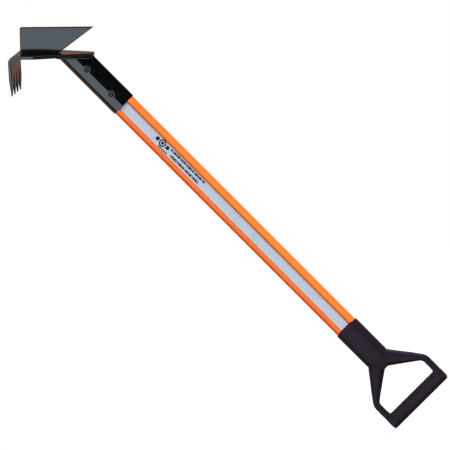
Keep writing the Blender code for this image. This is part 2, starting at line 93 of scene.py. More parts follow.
# Socket: a pressed tube. Each broad face falls away from a ridge, and is flat in a seat round each screw
SOCKET_CORNER = 10.8 * MM
SOCKET_INNER = (22.75 * MM, 13.55 * MM, 9.55 * MM)  # half width, half depth and corner radius
RIDGE = -1.0 * MM                   # X of the faint ridge down each broad face
RIDGE_SOFTNESS = 0.8 * MM
SLOPES = (math.radians(-0.6), math.radians(4.6))    # of the face on the ridge's two sides
SEAT_RADIUS = 7.2 * MM
SEAT_EDGE = 0.8 * MM
SOCKET_STEP = 0.7 * MM
FACE_STEPS = 54
CORNER_STEPS = 12

# Pole: the CAD's dog-bone section with finer arcs
LOBE_RADIUS = 12.5 * MM
LOBE_CENTRE_Y = 1.5 * MM
LOBE_TURN = math.radians(65)
CREST_RADIUS = 3.7 * MM
RECESS_FLOOR = 9.1 * MM
POLE_WALL = 2.5 * MM
POLE_HEAD_GAP = 5.0 * MM
LOBE_STEPS = 22
CREST_STEPS = 14
POLE_RINGS = 40
# Painted shade: the pole's orange is darkened over its recesses and their flanks, where shade falls
SHADE_REACH = (10.4 * MM, 13.0 * MM)    # X from the pole's middle over which the painted shade of the recesses fades out
SHADE_DEPTH = 0.8
SHADE_TINT = (0.42, 0.36, 0.42)

# Screws. As in the CAD, their heads, the washers and the nuts stand 0.3 mm clear of what is under them
FACE = 15.1 * MM                    # from the middle to the underside of the head, and of the washer
SCREW_RADIUS = 3.0 * MM
THREAD_DEPTH = 0.35 * MM
THREAD_PITCH = 1.0 * MM
THREAD_LEAD = 0.6                   # pitches from the tip to the first crest
BUTTON_RADIUS = 5.5 * MM
BUTTON_RIM = 0.3 * MM               # height of the straight rim under the dome
BUTTON_HEIGHT = 2.5 * MM
BUTTON_TOP_RADIUS = 2.45 * MM
BUTTON_CHAMFER = 0.15 * MM
DOME_STEPS = 8
KEY_RADIUS = 2.2 * MM               # of the hexagon recess, to its corners
KEY_DEPTH = 1.8 * MM
KEY_MOUTH = 1.04                    # how much wider the recess opens at its mouth
KEY_CHAMFER = 0.12 * MM
HEXAGON = 6

# Washers and lock nuts
WASHER_RADIUS = 6.25 * MM
WASHER_BORE = 3.3 * MM
WASHER_THICKNESS = 1.6 * MM
WASHER_CHAMFER = 0.2 * MM
NUT_BASE = 17.0 * MM                # Y of the nut's underside
NUT_RADIUS = 5.77 * MM              # to its corners
NUT_BORE = 3.3 * MM
NUT_HEX_HEIGHT = 4.6 * MM
NUT_BASE_CHAMFER = 0.5 * MM
NUT_TOP_CHAMFER = 0.6 * MM
NUT_HEIGHT = 6.2 * MM
COLLAR_RADIUS = 4.8 * MM
COLLAR_STEP = 0.1 * MM
COLLAR_CHAMFER = (0.35 * MM, 0.5 * MM)  # inward and down
INSERT_ROOM_RADIUS = 4.3 * MM
INSERT_ROOM_DEPTH = 1.9 * MM

# Weld beads
SOCKET_WELD_RADIUS = 2.2 * MM
WELD_GAP = 0.3 * MM
RIPPLE_PITCH = 2.4 * MM
RIPPLE_DEPTH = 0.09
RIPPLE_BOW = 0.35                   # how far each ripple bows along the run over the bead's top, in pitches
RIPPLE_DRIFT = 0.05                 # unevenness of the ripples' pitch, in pitches
RIPPLE_DRIFT_RATE = 1.7
BEAD_STEP = 0.35 * MM
BEAD_SIDES = 16
BEAD_END = 1.5                      # radii over which a bead's end is drawn in
BEAD_TIP = 0.02                     # square of the share of its radius that a bead keeps at its very end

# D-handle
MOULD_VOXEL = 1.1 * MM
MOULD_SMOOTHING = 8
MOULD_SMOOTHING_FACTOR = 0.5
MOULD_SWELL = 0.2 * MM              # gives back what the smoothing takes off
BORE = (22.7 * MM, 13.8 * MM, 10.5 * MM)    # half width, half depth and corner radius
BORE_FLOOR = 121.0 * MM
BORE_MARGIN = 0.1 * MM
CUTTER_OVERRUN = 10 * MM

# Print on the front tape: a ringed dot between two dots, a bar and two rows of plain dashes
PRINT_THICKNESS = 0.05 * MM
PRINT_CORNER_STEPS = 4
EMBLEM_PLACE = (2.2 * MM, 679.0 * MM)       # X and Z
EMBLEM_RINGS = [                    # place along the pole, outer radius and inner radius
    (0.0, 7.2 * MM, 4.7 * MM),
    (0.0, 3.0 * MM, 0.0),
    (12.6 * MM, 3.9 * MM, 0.0),
    (-12.6 * MM, 3.9 * MM, 0.0),
]
BAR_PLACE = (-6.9 * MM, 671.0 * MM)         # X and Z
BAR_LENGTH = 24.0 * MM
BAR_WIDTH = 2.0 * MM
BAR_CORNER = BAR_WIDTH / 2.2
ROW_PLACES = [                      # X, and the Z where the row starts and ends
    (4.9 * MM, 659.0 * MM, 573.0 * MM),
    (-3.9 * MM, 652.0 * MM, 580.0 * MM),
]
ROW_SHIFT = 5                       # dashes by which the second row is out of step with the first
DASH_HEIGHT = 4.5 * MM
DASH_CORNER = 0.5 * MM
DASH_LENGTHS = [3.4, 2.0, 4.6, 2.8, 5.2, 2.2, 3.8, 4.4, 2.4, 3.0, 5.6, 2.6]     # millimetres
DASH_GAP = 0.9 * MM
DASH_GROUP = 4                      # every fourth gap is a double one

# Tape
DIAMOND_PITCH = 5.8 * MM
DIAMOND_LINE = (0.44, 0.56, 0.04)   # start, end and softness of the welded line, in pitches
DIAMOND_LINE_BLEND = 0.35
DIAMOND_LINE_COLOUR = (0.36, 0.36, 0.42)

NOISE_RANGE = (0.3, 0.7)            # the noise values that are spread over a finish's range of roughness

# Studio
LAMPS = [                           # azimuth from the front towards +X, elevation and spread in degrees
    ("key", (45, 32, 56), 8.5, (0.93, 1.02, 1.06)),
    ("back", (186, 34, 40), 4.5, (1.0, 0.98, 0.95)),
]
FILL = (0.42, 0.34, 0.33)
SOFTBOXES = [                       # what the gloss mirrors: azimuths, elevations, soft edge and radiance
    ((327, 352), (-32, 34), 0.8, (2.30, 2.68, 3.15)),       # the big softbox, to the left of the camera
    ((232, 300), (-40, 26), 8.0, (0.80, 0.58, 0.42)),       # lit backdrop at the far left
    ((175, 236), (-22, 24), 3.0, (0.335, 0.182, 0.122)),    # warm wall behind the object
    ((100, 150), (20, 66), 6.0, (2.2, 2.25, 2.35)),         # box above the +X side
    ((196, 236), (26, 66), 6.0, (2.2, 2.25, 2.35)),         # box above the back
    ((100, 165), (-34, -9), 4.0, (1.1, 1.12, 1.2)),         # low box behind the +X side
    ((296, 352), (42, 64), 5.0, (1.2, 1.25, 1.35)),         # box above the front
]
STUDIO_WALL = 0.010
STUDIO_FLOOR = 0.30
STUDIO_FLOOR_EDGE = (-18.0, -32.0)  # elevations between which the wall turns to floor
FLOOR_SIZE = 12.0
FLOOR_CELLS = 8
FLOOR_DROP = 0.1 * MM
FLOOR_ROUGHNESS = 0.9
FLOOR_TONES = (0.47, 0.50)


def add(tree, kind, inputs=(), **settings):
    """Adds a shader node. inputs maps its sockets to values, or to the outputs that feed them."""
    node = tree.nodes.new(kind)
    for name, value in settings.items():
        setattr(node, name, value)
    for name, value in dict(inputs).items():
        if isinstance(value, bpy.types.NodeSocket):
            tree.links.new(value, node.inputs[name])
        else:
            node.inputs[name].default_value = value
    return node


def math_node(tree, operation, *values):
    return add(tree, "ShaderNodeMath", enumerate(values), operation=operation).outputs[0]


def mix_colours(tree, factor, first, second, blend_type="MIX"):
    """Mixes a colour output with a fixed colour."""
    node = add(tree, "ShaderNodeMix", {"Factor": factor}, data_type="RGBA", blend_type=blend_type)
    colour_a, colour_b = [socket for socket in node.inputs if socket.type == "RGBA"]
    tree.links.new(first, colour_a)
    colour_b.default_value = (*second, 1)
    return next(socket for socket in node.outputs if socket.type == "RGBA")


def soft_step(tree, value, start, end, low=0.0, high=1.0):
    """Goes smoothly from low at start to high at end."""
    return add(tree, "ShaderNodeMapRange",
               {"Value": value, "From Min": start, "From Max": end, "To Min": low, "To Max": high},
               interpolation_type="SMOOTHSTEP").outputs[0]


def band(tree, value, low, high, soft):
    """1 between low and high, 0 outside, with soft edges."""
    rise = soft_step(tree, value, low - soft, low + soft)
    fall = soft_step(tree, value, high + soft, high - soft)
    return math_node(tree, "MULTIPLY", rise, fall)


def make_world():
    """Camera rays see a white sweep, diffuse rays a soft white dome and glossy rays the softboxes."""
    world = bpy.data.worlds.new("studio")
    world.use_nodes = True
    tree = world.node_tree
    tree.nodes.clear()
    direction = add(tree, "ShaderNodeTexCoord").outputs["Generated"]
    split = add(tree, "ShaderNodeSeparateXYZ", {0: direction})
    toward_front = math_node(tree, "MULTIPLY", split.outputs["Y"], -1.0)
    turn = math_node(tree, "ARCTAN2", split.outputs["X"], toward_front)
    azimuth = math_node(tree, "FLOORED_MODULO", math_node(tree, "DEGREES", turn), 360.0)
    elevation = math_node(tree, "DEGREES", math_node(tree, "ARCSINE", split.outputs["Z"]))
    colour = soft_step(tree, elevation, *STUDIO_FLOOR_EDGE, STUDIO_WALL, STUDIO_FLOOR)
    for azimuths, elevations, soft, radiance in SOFTBOXES:
        mask = math_node(tree, "MULTIPLY", band(tree, azimuth, *azimuths, soft),
                         band(tree, elevation, *elevations, soft))
        colour = mix_colours(tree, mask, colour, radiance)
    sweep = add(tree, "ShaderNodeBackground", {"Color": (1, 1, 1, 1)})
    dome = add(tree, "ShaderNodeBackground", {"Color": (*FILL, 1)})
    gloss = add(tree, "ShaderNodeBackground", {"Color": colour})
    path = add(tree, "ShaderNodeLightPath")
    lit = add(tree, "ShaderNodeMixShader",
              {0: path.outputs["Is Glossy Ray"], 1: dome.outputs[0], 2: gloss.outputs[0]})
    seen = add(tree, "ShaderNodeMixShader",
               {0: path.outputs["Is Camera Ray"], 1: lit.outputs[0], 2: sweep.outputs[0]})
    add(tree, "ShaderNodeOutputWorld", {"Surface": seen.outputs[0]})
    bpy.context.scene.world = world
    bpy.context.scene.view_settings.view_transform = "Standard"


def link(obj):
    bpy.context.scene.collection.objects.link(obj)
    return obj


def make_camera():
    level = Vector((math.cos(CAMERA_AZIMUTH), math.sin(CAMERA_AZIMUTH), 0))
    back = Vector((math.sin(CAMERA_AZIMUTH), -math.cos(CAMERA_AZIMUTH), 0))
    vertical = Vector((0, 0, 1))
    right = (level - vertical).normalized()
    up = (level + vertical).normalized()
    data = bpy.data.cameras.new("camera")
    data.sensor_width = SENSOR
    data.lens = SENSOR * CAMERA_DISTANCE / VIEW_WIDTH
    data.clip_end = CAMERA_REACH
    camera = link(bpy.data.objects.new("camera", data))
    placed = Matrix((right, up, back)).transposed().to_4x4()
    placed.translation = level * TARGET_SIDEWAYS + vertical * TARGET_HEIGHT + back * CAMERA_DISTANCE
    camera.matrix_world = placed
    bpy.context.scene.camera = camera


def make_lamps():
    """Soft lamps for the matt surfaces. What the gloss mirrors is in the world."""
    for name, (azimuth, elevation, spread), strength, colour in LAMPS:
        data = bpy.data.lights.new(name, "SUN")
        data.energy = strength
        data.angle = math.radians(spread)
        data.color = colour
        lamp = link(bpy.data.objects.new(name, data))
        turn, lift = math.radians(azimuth), math.radians(elevation)
        across = math.cos(lift)
        toward = Vector((across * math.sin(turn), -across * math.cos(turn), math.sin(lift)))
        lamp.rotation_euler = toward.to_track_quat("Z", "Y").to_euler()
        lamp.visible_glossy = False


def new_material(name, specular, metallic=0.0):
    """A Principled material: (its tree, its shader, its coordinates, the material itself)."""
    material = bpy.data.materials.new(name)
    material.use_nodes = True
    tree = material.node_tree
    shader = tree.nodes["Principled BSDF"]
    shader.inputs["Specular IOR Level"].default_value = specular
    shader.inputs["Metallic"].default_value = metallic
    coords = add(tree, "ShaderNodeTexCoord").outputs["Object"]
    return tree, shader, coords, material


def noise(tree, coords, scale, detail):
    """Noise with scale cells to a metre, and detail finer octaves."""
    node = add(tree, "ShaderNodeTexNoise", {"Vector": coords, "Scale": scale, "Detail": detail})
    return node.outputs["Fac"]


def stretched(tree, coords, scale):
    return add(tree, "ShaderNodeMapping", {"Vector": coords, "Scale": scale}).outputs[0]


def ramp(tree, factor, *stops):
    """A colour ramp: stops are (position, colour)."""
    node = add(tree, "ShaderNodeValToRGB", {"Fac": factor})
    elements = node.color_ramp.elements
    while len(elements) < len(stops):
        elements.new(0.5)
    for element, (position, colour) in zip(elements, stops):
        element.position = position
        element.color = (*colour, 1)
    return node.outputs["Color"]


def vary_roughness(tree, shader, grain, low, high):
    """Roughness goes from low to high with a grain."""
    start, end = NOISE_RANGE
    spread = add(tree, "ShaderNodeMapRange",
                 {"Value": grain, "From Min": start, "From Max": end, "To Min": low, "To Max": high})
    tree.links.new(spread.outputs[0], shader.inputs["Roughness"])


def bump(tree, shader, *layers):
    """Layers of (height, distance in millimetres, strength), one on another."""
    normal = None
    for height, distance, strength in layers:
        inputs = {"Height": height, "Distance": distance * MM, "Strength": strength}
        if normal:
            inputs["Normal"] = normal
        normal = add(tree, "ShaderNodeBump", inputs).outputs[0]
    tree.links.new(normal, shader.inputs["Normal"])


def powder_coat(name, peel):
    """Gloss black powder coat: orange peel under a finer grain, and a faint mottle in the black."""
    tree, shader, coords, material = new_material(name, specular=0.5)
    mottle = noise(tree, coords, 60.0, 3.0)
    black = ramp(tree, mottle, (0.35, (0.0007, 0.0008, 0.0009)), (0.7, (0.0016, 0.0017, 0.0019)))
    tree.links.new(black, shader.inputs["Base Color"])
    fine = noise(tree, coords, 900.0, 2.0)
    waves = noise(tree, coords, 420.0, 2.0)
    vary_roughness(tree, shader, fine, 0.09, 0.13)
    bump(tree, shader, (waves, 0.02, peel), (fine, 0.004, peel))
    return material


def pole_gelcoat():
    """Orange pultruded fibreglass: strands run along it under the resin, and the recesses are darkened with
    painted shade.
    """
    tree, shader, coords, material = new_material("pole_gelcoat", specular=0.35)
    strands = noise(tree, stretched(tree, coords, (1.0, 1.0, 0.012)), 900.0, 3.0)
    cloud = noise(tree, stretched(tree, coords, (1.0, 1.0, 0.15)), 40.0, 2.0)
    blend = math_node(tree, "ADD", math_node(tree, "MULTIPLY", strands, 0.6),
                      math_node(tree, "MULTIPLY", cloud, 0.4))
    orange = ramp(tree, blend, (0.32, (0.75, 0.086, 0.0105)), (0.68, (0.83, 0.122, 0.0170)))
    split = add(tree, "ShaderNodeSeparateXYZ", {0: coords})
    across = math_node(tree, "ABSOLUTE", split.outputs["X"])
    # Painted shade: the orange darkens towards the recesses, fully at the recess floor and not at all on
    # the crests
    unshaded, fully_shaded = reversed(SHADE_REACH)
    painted_shade = soft_step(tree, across, unshaded, fully_shaded, 0.0, SHADE_DEPTH)
    tree.links.new(mix_colours(tree, painted_shade, orange, SHADE_TINT, "MULTIPLY"), shader.inputs["Base Color"])
    vary_roughness(tree, shader, strands, 0.30, 0.42)
    bump(tree, shader, (strands, 0.04, 0.5))
    return material


def prismatic_tape():
    """Silver micro-prismatic tape: a welded diamond grid over a fine grain, with a faint colour shift."""
    tree, shader, coords, material = new_material("prismatic_tape", specular=0.5, metallic=0.15)
    grain = noise(tree, coords, 1500.0, 1.0)
    drift = noise(tree, coords, 70.0, 2.0)
    tint = ramp(tree, drift, (0.30, (0.24, 0.28, 0.32)), (0.45, (0.28, 0.30, 0.33)),
                (0.58, (0.32, 0.29, 0.32)), (0.72, (0.26, 0.30, 0.31)))
    split = add(tree, "ShaderNodeSeparateXYZ", {0: coords})
    families = []
    for sign in (1.0, -1.0):
        slant = math_node(tree, "ADD", math_node(tree, "MULTIPLY", split.outputs["X"], sign),
                          split.outputs["Z"])
        phase = math_node(tree, "FRACT", math_node(tree, "DIVIDE", slant, DIAMOND_PITCH))
        families.append(band(tree, phase, *DIAMOND_LINE))
    lines = math_node(tree, "MAXIMUM", *families)
    depth = math_node(tree, "MULTIPLY", lines, DIAMOND_LINE_BLEND)
    tree.links.new(mix_colours(tree, depth, tint, DIAMOND_LINE_COLOUR), shader.inputs["Base Color"])
    vary_roughness(tree, shader, grain, 0.32, 0.5)
    bump(tree, shader, (lines, 0.08, 0.6), (grain, 0.03, 0.6))
    return material


def moulded_handle():
    """Charcoal glass-filled nylon with a fine spark-eroded grain."""
    tree, shader, coords, material = new_material("moulded_handle", specular=0.16)
    cloud = noise(tree, coords, 30.0, 3.0)
    grain = noise(tree, coords, 1100.0, 3.0)
    charcoal = ramp(tree, cloud, (0.35, (0.0066, 0.0036, 0.0064)), (0.7, (0.0086, 0.0052, 0.0084)))
    tree.links.new(charcoal, shader.inputs["Base Color"])
    vary_roughness(tree, shader, grain, 0.42, 0.54)
    bump(tree, shader, (grain, 0.08, 0.5))
    return material


def black_oxide():
    """Blackened steel fasteners, faintly turned."""
    tree, shader, coords, material = new_material("black_oxide", specular=0.5, metallic=0.6)
    marks = noise(tree, stretched(tree, coords, (1.0, 12.0, 1.0)), 700.0, 2.0)
    steel = ramp(tree, marks, (0.3, (0.012, 0.015, 0.020)), (0.7, (0.030, 0.036, 0.044)))
    tree.links.new(steel, shader.inputs["Base Color"])
    vary_roughness(tree, shader, marks, 0.26, 0.40)
    bump(tree, shader, (marks, 0.02, 0.4))
    return material


def speckled(name, dark, light, roughness, scale, relief, specular=0.4):
    """A plain material: two tones in a grain of scale cells to a metre, with relief in millimetres."""
    tree, shader, coords, material = new_material(name, specular)
    grain = noise(tree, coords, scale, 3.0)
    tree.links.new(ramp(tree, grain, (0.35, dark), (0.65, light)), shader.inputs["Base Color"])
    vary_roughness(tree, shader, grain, roughness, roughness + 0.1)
    bump(tree, shader, (grain, relief, 0.6))
    return material


def paint(obj, material):
    obj.data.materials.clear()
    obj.data.materials.append(material)


def settle(piece, node, material):
    """Gives a new piece its finish and, where it has one, its CAD node's place."""
    paint(piece, material)
    if node:
        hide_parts(node)
    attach(piece, BODY)
    return piece


def mesh_object(name, bm, sharp_angle=40):
    """Turns a bmesh into an object, shaded smooth up to that angle in degrees."""
    bmesh.ops.recalc_face_normals(bm, faces=bm.faces)
    mesh = bpy.data.meshes.new(name)
    bm.to_mesh(mesh)
    bm.free()
    mesh.shade_smooth()
    mesh.set_sharp_from_angle(angle=math.radians(sharp_angle))
    return link(bpy.data.objects.new(name, mesh))


def skin(bm, rings, closed=False):
    """Quads between rings of vertices that match one to one."""
    pairs = list(zip(rings, rings[1:]))
    if closed:
        pairs.append((rings[-1], rings[0]))
    for low, high in pairs:
        count = len(low)
        for index in range(count):
            after = (index + 1) % count
            bm.faces.new((low[index], low[after], high[after], high[index]))


def cap(bm, *rings):
    for ring in rings:
        bm.faces.new(ring)


def rounded_rectangle(half_x, half_y, radius, corner_steps=CORNER_STEPS, face_steps=1):
    """Points round a rounded rectangle, with face_steps along each of its two sides that run along X."""
    flat_x = half_x - radius
    flat_y = half_y - radius
    points = []
    for quadrant, (sign_x, sign_y) in enumerate(((1, 1), (-1, 1), (-1, -1), (1, -1))):
        for step in range(corner_steps + 1):
            angle = math.pi / 2 * (quadrant + step / corner_steps)
            points.append((sign_x * flat_x + radius * math.cos(angle),
                           sign_y * flat_y + radius * math.sin(angle)))
        if quadrant in (0, 2):
            for step in range(1, face_steps):
                points.append((sign_x * flat_x * (1 - 2 * step / face_steps), sign_y * half_y))
    return points


def stand_in(name, node, material):
    """A copy of a CAD node's mesh, welded and with its flat faces whole, which takes the node's place."""
    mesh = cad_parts[node].data.copy()
    bm = bmesh.new()
    bm.from_mesh(mesh)
    bmesh.ops.remove_doubles(bm, verts=bm.verts, dist=MERGE_DISTANCE)
    bmesh.ops.dissolve_limit(bm, angle_limit=FLAT_ANGLE, verts=bm.verts, edges=bm.edges)
    bm.to_mesh(mesh)
    bm.free()
    for imported in ("custom_normal", "sharp_edge", "sharp_face"):
        if imported in mesh.attributes:
            mesh.attributes.remove(mesh.attributes[imported])
    return settle(link(bpy.data.objects.new(name, mesh)), node, material)


def soften_edges(piece, width, angle):
    """Rounds the edges that turn more than angle, in degrees, and shades the rest smooth."""
    for polygon in piece.data.polygons:
        polygon.use_smooth = True
    bevel = piece.modifiers.new("edges", "BEVEL")
    bevel.width = width
    bevel.segments = EDGE_SEGMENTS
    bevel.limit_method = "ANGLE"
    bevel.angle_limit = math.radians(angle)
    bevel.use_clamp_overlap = False
    level = piece.modifiers.new("flats", "WEIGHTED_NORMAL")
    level.keep_sharp = True


def make_plate_and_fin(material):
    plate = stand_in("claw_plate_coated", "claw_plate", material)
    soften_edges(plate, PLATE_EDGE, PLATE_EDGE_ANGLE)
    fin = stand_in("fin_blade_coated", "fin_blade", material)
    soften_edges(fin, FIN_EDGE, FIN_EDGE_ANGLE)


def crown_drop(x, y, z, flat_x, half_y, screws):
    """How far the pressed face has fallen at this place, towards the tube's middle."""
    run = min(max(x, -flat_x), flat_x) - RIDGE
    left, right = (math.tan(slope) for slope in SLOPES)
    bend = (right - left) / 2
    drop = (left + right) / 2 * run + bend * math.hypot(run, RIDGE_SOFTNESS) + left * (RIDGE + flat_x) / 2
    drop = max(drop, 0.0)
    for height in screws:
        away = math.hypot(x, z - height)
        blend = min(max((away - SEAT_RADIUS) / SEAT_EDGE, 0.0), 1.0)
        drop *= blend * blend * (3 - 2 * blend)
    round_corner = min(max((abs(y) - (half_y - SOCKET_CORNER)) / SOCKET_CORNER, 0.0), 1.0)
    return drop * round_corner


def make_socket(material):
    """The pressed tube, mitred at its top to the head's tilt."""
    low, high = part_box("head_socket")
    screws = []
    for level in LEVELS:
        corner_a, corner_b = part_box(f"{level}_washer")
        screws.append((corner_a.z + corner_b.z) / 2)
    half_x, half_y = high.x, high.y
    outer = rounded_rectangle(half_x, half_y, SOCKET_CORNER, face_steps=FACE_STEPS)
    inner = rounded_rectangle(*SOCKET_INNER, face_steps=FACE_STEPS)
    slope = math.tan(HEAD_TILT)
    steps = round((high.z - low.z) / SOCKET_STEP)
    bm = bmesh.new()
    rings = []
    for step in range(steps + 1):
        ring = []
        for x, y in outer:
            top = high.z - (x - low.x) * slope
            z = low.z + (top - low.z) * step / steps
            drop = crown_drop(x, y, z, half_x - SOCKET_CORNER, half_y, screws)
            ring.append(bm.verts.new((x, y - math.copysign(drop, y), z)))
        rings.append(ring)
    rings.append([bm.verts.new((x, y, high.z - (x - low.x) * slope)) for x, y in inner])
    rings.append([bm.verts.new((x, y, low.z)) for x, y in inner])
    skin(bm, rings, closed=True)
    settle(mesh_object("socket_pressed", bm), "head_socket", material)


def pole_outline(grow):
    """The dog-bone section, grown outward, with a lobe at each side and a recess in each face."""
    lobe_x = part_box("pole_shell")[1].x - LOBE_RADIUS
    reach = LOBE_RADIUS - CREST_RADIUS
    crest_x = lobe_x + reach * math.cos(LOBE_TURN)
    crest_y = LOBE_CENTRE_Y + reach * math.sin(LOBE_TURN)
    quarter = []
    for step in range(LOBE_STEPS + 1):
        angle = LOBE_TURN * step / LOBE_STEPS
        radius = LOBE_RADIUS + grow
        quarter.append((lobe_x + radius * math.cos(angle), LOBE_CENTRE_Y + radius * math.sin(angle)))
    for step in range(1, CREST_STEPS + 1):
        angle = LOBE_TURN + (math.pi - LOBE_TURN) * step / CREST_STEPS
        radius = CREST_RADIUS + grow
        quarter.append((crest_x + radius * math.cos(angle), crest_y + radius * math.sin(angle)))
    quarter.append((crest_x - CREST_RADIUS - grow, RECESS_FLOOR + grow))
    left = [(-x, y) for x, y in reversed(quarter)]
    return quarter + left + [(-x, -y) for x, y in quarter] + [(-x, -y) for x, y in left]


def make_pole(material):
    """The hollow pole, with rings along its outside and its top mitred short of the plate."""
    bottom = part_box("pole_shell")[0].z
    slope = math.tan(HEAD_TILT)
    bm = bmesh.new()
    rings = []
    for grow, order in ((0.0, range(POLE_RINGS + 1)), (-POLE_WALL, (POLE_RINGS, 0))):
        outline = pole_outline(grow)
        for index in order:
            ring = []
            for x, y in outline:
                top = HEAD_HEIGHT - x * slope - POLE_HEAD_GAP
                ring.append(bm.verts.new((x, y, bottom + (top - bottom) * index / POLE_RINGS)))
            rings.append(ring)
    skin(bm, rings, closed=True)
    settle(mesh_object("pole_pultrusion", bm, sharp_angle=30), "pole_shell", material)


def turned_ring(bm, y, radius, corners, height):
    """A ring round a screw's axis: a circle, or a polygon with that many corners."""
    ring = []
    for step in range(ROUND_STEPS):
        angle = math.tau * step / ROUND_STEPS
        reach = radius
        if corners:
            sector = math.pi / corners
            reach = radius * math.cos(sector) / math.cos(angle % (2 * sector) - sector)
        ring.append(bm.verts.new((reach * math.cos(angle), y, height + reach * math.sin(angle))))
    return ring


def turned(name, node, stations, height, material, closed=False):
    """A turned piece from stations (place along Y, radius, corners or 0). Closed pieces have a bore."""
    bm = bmesh.new()
    rings = [turned_ring(bm, y, radius, corners, height) for y, radius, corners in stations]
    skin(bm, rings, closed=closed)
    if not closed:
        cap(bm, rings[0], rings[-1])
    settle(mesh_object(name, bm, sharp_angle=28), node, material)


def button_profile():
    """The screw head as (height, radius): a chamfer, a short rim and an arc centred on the screw's axis."""
    rise = BUTTON_HEIGHT - BUTTON_RIM
    squares = BUTTON_TOP_RADIUS ** 2 + BUTTON_HEIGHT ** 2 - BUTTON_RADIUS ** 2 - BUTTON_RIM ** 2
    centre = squares / (2 * rise)
    dome = math.hypot(BUTTON_RADIUS, BUTTON_RIM - centre)
    profile = [(0.0, BUTTON_RADIUS - BUTTON_CHAMFER), (BUTTON_CHAMFER, BUTTON_RADIUS)]
    for step in range(DOME_STEPS + 1):
        height = BUTTON_RIM + rise * step / DOME_STEPS
        profile.append((height, math.sqrt(dome ** 2 - (height - centre) ** 2)))
    return profile


def screw_stations(tip):
    """From the threaded tip, through the socket, over the head and down into its hexagon recess."""
    stations = [(tip, SCREW_RADIUS - 2 * THREAD_DEPTH, 0)]
    for turn in range(round((tip - NUT_BASE) / THREAD_PITCH)):
        crest = tip - THREAD_PITCH * (turn + THREAD_LEAD)
        stations.append((crest, SCREW_RADIUS, 0))
        stations.append((crest - THREAD_PITCH / 2, SCREW_RADIUS - THREAD_DEPTH, 0))
    stations.append((-FACE, SCREW_RADIUS, 0))
    for height, radius in button_profile():
        stations.append((-FACE - height, radius, 0))
    crown = -FACE - BUTTON_HEIGHT
    stations.append((crown, KEY_RADIUS * KEY_MOUTH, HEXAGON))
    stations.append((crown + KEY_CHAMFER, KEY_RADIUS, HEXAGON))
    stations.append((crown + KEY_DEPTH, KEY_RADIUS, HEXAGON))
    return stations


def washer_stations():
    back = FACE + WASHER_THICKNESS
    return [
        (FACE + WASHER_CHAMFER, WASHER_RADIUS, 0),
        (back - WASHER_CHAMFER, WASHER_RADIUS, 0),
        (back, WASHER_RADIUS - WASHER_CHAMFER, 0),
        (back, WASHER_BORE, 0),
        (FACE, WASHER_BORE, 0),
        (FACE, WASHER_RADIUS - WASHER_CHAMFER, 0),
    ]


def nut_stations():
    """A hexagon with chamfered ends, a collar above it and the insert's room inside the collar."""
    flat = NUT_RADIUS * math.cos(math.pi / HEXAGON)
    shoulder = NUT_BASE + NUT_HEX_HEIGHT
    top = NUT_BASE + NUT_HEIGHT
    chamfer_in, chamfer_down = COLLAR_CHAMFER
    return [
        (NUT_BASE, flat, 0),
        (NUT_BASE + NUT_BASE_CHAMFER, NUT_RADIUS, HEXAGON),
        (shoulder - NUT_TOP_CHAMFER, NUT_RADIUS, HEXAGON),
        (shoulder, flat, 0),
        (shoulder + COLLAR_STEP, COLLAR_RADIUS, 0),
        (top - chamfer_down, COLLAR_RADIUS, 0),
        (top, COLLAR_RADIUS - chamfer_in, 0),
        (top, INSERT_ROOM_RADIUS, 0),
        (top - INSERT_ROOM_DEPTH, INSERT_ROOM_RADIUS, 0),
        (top - INSERT_ROOM_DEPTH, NUT_BORE, 0),
        (NUT_BASE, NUT_BORE, 0),
    ]


def make_fasteners(material):
    """Two screws from the front, each with a washer and a lock nut at the back."""
    for level in LEVELS:
        low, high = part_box(f"{level}_screw")
        height = (low.z + high.z) / 2
        turned(f"{level}_button_screw", f"{level}_screw", screw_stations(high.y), height, material)
        turned(f"{level}_flat_washer", f"{level}_washer", washer_stations(), height, material, closed=True)
        turned(f"{level}_lock_nut_turned", f"{level}_lock_nut", nut_stations(), height, material,
               closed=True)


def ripple_bead(name, node, path, radius, material):
    """A weld bead with the run's crescent ripples, carried along a path and drawn in at its ends."""
    lengths = [0.0]
    for before, after in zip(path, path[1:]):
        lengths.append(lengths[-1] + (after - before).length)
    total = lengths[-1]
    steps = round(total / BEAD_STEP)
    bm = bmesh.new()
    rings = []
    for step in range(steps + 1):
        run = total * step / steps
        index = min(sum(1 for length in lengths[1:] if length < run), len(path) - 2)
        part = (run - lengths[index]) / (lengths[index + 1] - lengths[index])
        centre = path[index].lerp(path[index + 1], part)
        tangent = (path[min(index + 2, len(path) - 1)] - path[max(index - 1, 0)]).normalized()
        side = tangent.cross(HEAD_UP).normalized()
        up = side.cross(tangent)
        size = radius
        inset = min(run, total - run) / (BEAD_END * radius)
        if inset < 1:
            size *= math.sqrt(max(1 - (1 - inset) ** 2, BEAD_TIP))
        pitches = run / RIPPLE_PITCH
        ring = []
        for turn in range(BEAD_SIDES):
            angle = math.tau * turn / BEAD_SIDES
            drift = RIPPLE_DRIFT * math.sin(pitches * RIPPLE_DRIFT_RATE)
            phase = pitches + RIPPLE_BOW * math.sin(angle) + drift
            ripple = 1 - RIPPLE_DEPTH * (1 - abs(math.sin(math.pi * phase)))
            place = centre + (side * math.cos(angle) + up * math.sin(angle)) * size * ripple
            ring.append(bm.verts.new(place))
        rings.append(ring)
    skin(bm, rings)
    cap(bm, rings[0], rings[-1])
    settle(mesh_object(name, bm, sharp_angle=80), node, material)


